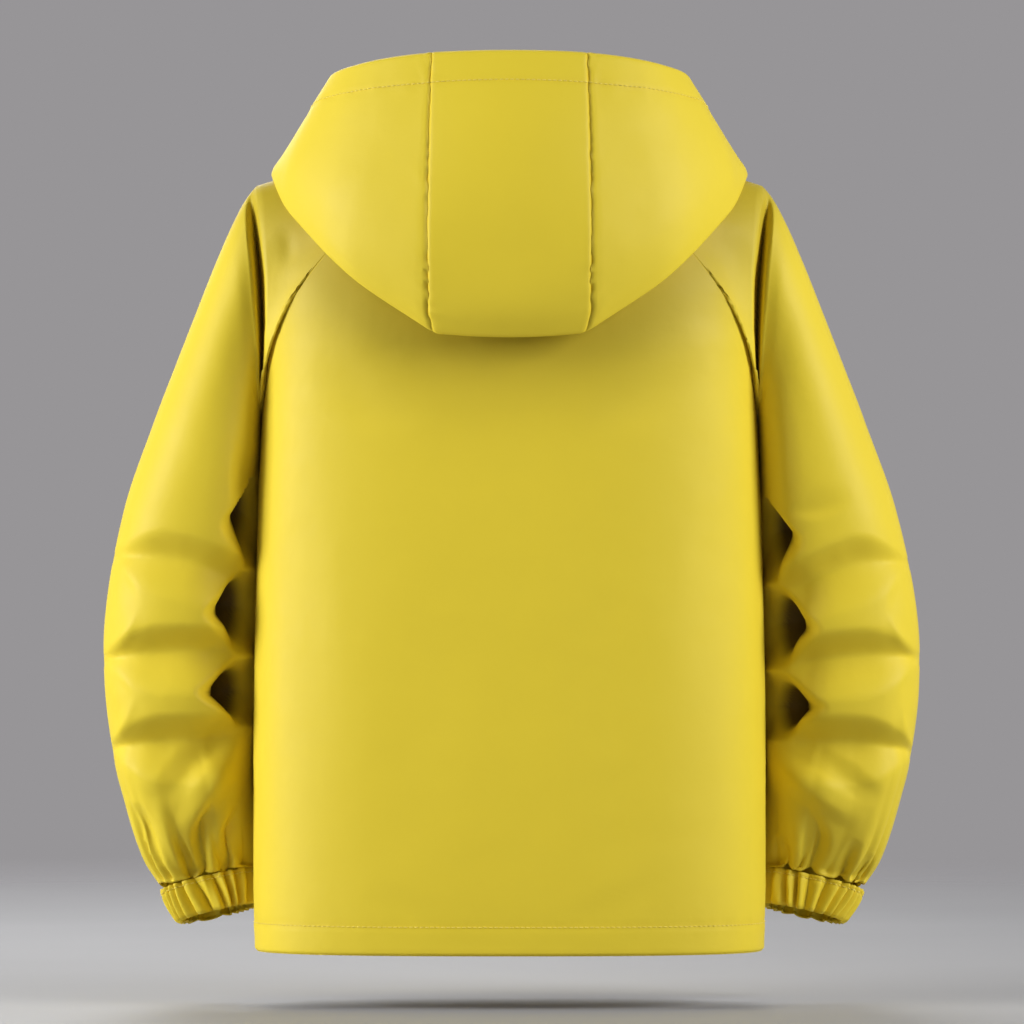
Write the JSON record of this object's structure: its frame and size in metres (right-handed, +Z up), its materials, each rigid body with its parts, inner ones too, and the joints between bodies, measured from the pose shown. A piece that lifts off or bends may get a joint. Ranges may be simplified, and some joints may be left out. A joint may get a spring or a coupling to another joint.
{
  "type": "hooded windbreaker jacket",
  "caption": "Hip-length hooded shell jacket with raglan sleeves, gathered elastic cuffs and a zip front, filled out as worn with its hood folded down.",
  "frame": {"origin": "middle of the neck opening, level with the wearer's shoulders, where the wearer holds the jacket up", "axes": "+Z up, -Y the way the wearer faces, +X to the wearer's left"},
  "size_m": [0.6261, 0.237, 0.685],
  "materials": {
    "shell_fabric": "coated plain weave, semi-matte",
    "zip_tape": "herringbone zip tape",
    "zip_metal": "enamelled to match the cloth"
  },
  "bodies": {
    "jacket": {"back": "shell_fabric", "front_left": "shell_fabric", "front_right": "shell_fabric", "sleeve_left": "shell_fabric", "sleeve_right": "shell_fabric", "cuff_left": "shell_fabric", "cuff_right": "shell_fabric", "hood_centre": "shell_fabric", "hood_side_left": "shell_fabric", "hood_side_right": "shell_fabric", "zip_tape_left": "zip_tape", "zip_tape_right": "zip_tape", "zip_slider": "zip_metal"},
    "pull": {"zip_pull": "zip_metal"}
  },
  "joints": [
    {"name": "pull_swing", "type": "hinge", "parent": "jacket", "child": "pull", "pos_m": [0, -0.08764, -0.08105], "axis": [-1, 0, 0], "range_deg": [0, 170]}
  ]
}
